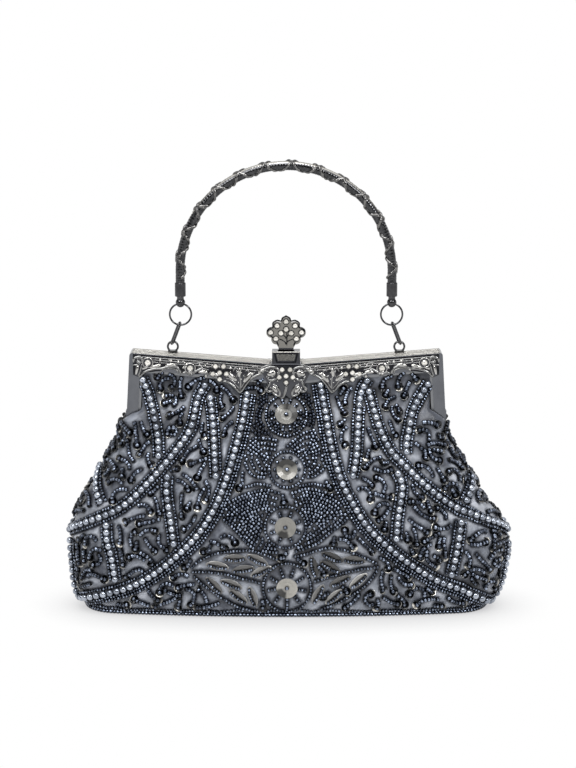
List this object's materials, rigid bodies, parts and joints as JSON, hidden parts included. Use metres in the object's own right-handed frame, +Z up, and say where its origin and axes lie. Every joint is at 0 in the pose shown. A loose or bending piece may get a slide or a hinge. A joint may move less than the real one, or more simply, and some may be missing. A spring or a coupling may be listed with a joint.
{
  "type": "frame purse",
  "caption": "Beaded evening purse: a bellied pouch in a hinged metal frame with a scrolled frieze, a fan lever clasp and an arched handle on rings.",
  "frame": {"origin": "middle of the flat base, on the surface that the purse stands on", "axes": "+X along the frame to the viewer's right, +Y from the front face to the back, +Z up to the handle"},
  "size_m": [0.252, 0.0636, 0.26],
  "materials": {
    "gunmetal": "gunmetal plated, satin",
    "antique_ornament": "cast, dark antique plating",
    "stone": "cut and foiled",
    "spring_steel": "bright",
    "satin": "woven satin",
    "beaded_cord": "cord covered with glass beads",
    "lining": "plain weave",
    "board": "plain"
  },
  "bodies": {
    "rear_half": {"rear_frame": "gunmetal", "rear_clamp_strip": "gunmetal", "rear_frieze": "antique_ornament", "rear_stones": "stone", "left_hinge_rivet": "gunmetal", "right_hinge_rivet": "gunmetal", "left_lug": "gunmetal", "right_lug": "gunmetal", "latch_tongue": "spring_steel", "pouch_front": "satin", "pouch_rear": "satin", "rear_upper_panel": "satin", "base_panel": "satin", "base_board": "board", "lining": "lining", "inner_pocket": "lining", "bottom_piping": "beaded_cord"},
    "front_half": {"front_frame": "gunmetal", "front_clamp_strip": "gunmetal", "front_frieze": "antique_ornament", "front_stones": "stone", "front_upper_panel": "satin", "clasp_box": "antique_ornament", "clasp_pin": "spring_steel", "lever_spring": "spring_steel"},
    "clasp": {"clasp_lever": "gunmetal", "fan_plate": "antique_ornament", "fan_stones": "stone"},
    "link_pair": {"left_link": "gunmetal", "right_link": "gunmetal"},
    "ring_pair": {"left_ring": "gunmetal", "right_ring": "gunmetal"},
    "handle": {"handle_tube": "gunmetal", "left_ferrule": "gunmetal", "right_ferrule": "gunmetal", "left_ball_end": "gunmetal", "right_ball_end": "gunmetal"}
  },
  "joints": [
    {"name": "frame_open", "type": "hinge", "parent": "rear_half", "child": "front_half", "pos_m": [0, 0, 0.106], "axis": [1, 0, 0], "range_deg": [0, 40], "deforming": ["latch_tongue"]},
    {"name": "lever_tilt", "type": "hinge", "parent": "front_half", "child": "clasp", "pos_m": [0, -0.0034, 0.1488], "axis": [1, 0, 0], "range_deg": [0, 25], "stiffness_Nm_per_rad": 0.02, "springref_deg": -17.19, "deforming": ["lever_spring", "latch_tongue"]},
    {"name": "link_swing", "type": "hinge", "parent": "rear_half", "child": "link_pair", "pos_m": [0, 0.004, 0.1557], "axis": [1, 0, 0], "range_deg": [-60, 35]},
    {"name": "ring_swing", "type": "hinge", "parent": "link_pair", "child": "ring_pair", "pos_m": [0, 0.004, 0.16542], "axis": [1, 0, 0], "range_deg": [-50, 30]},
    {"name": "handle_swing", "type": "hinge", "parent": "ring_pair", "child": "handle", "pos_m": [0, 0.004, 0.17776], "axis": [1, 0, 0], "range_deg": [-40, 30]}
  ]
}
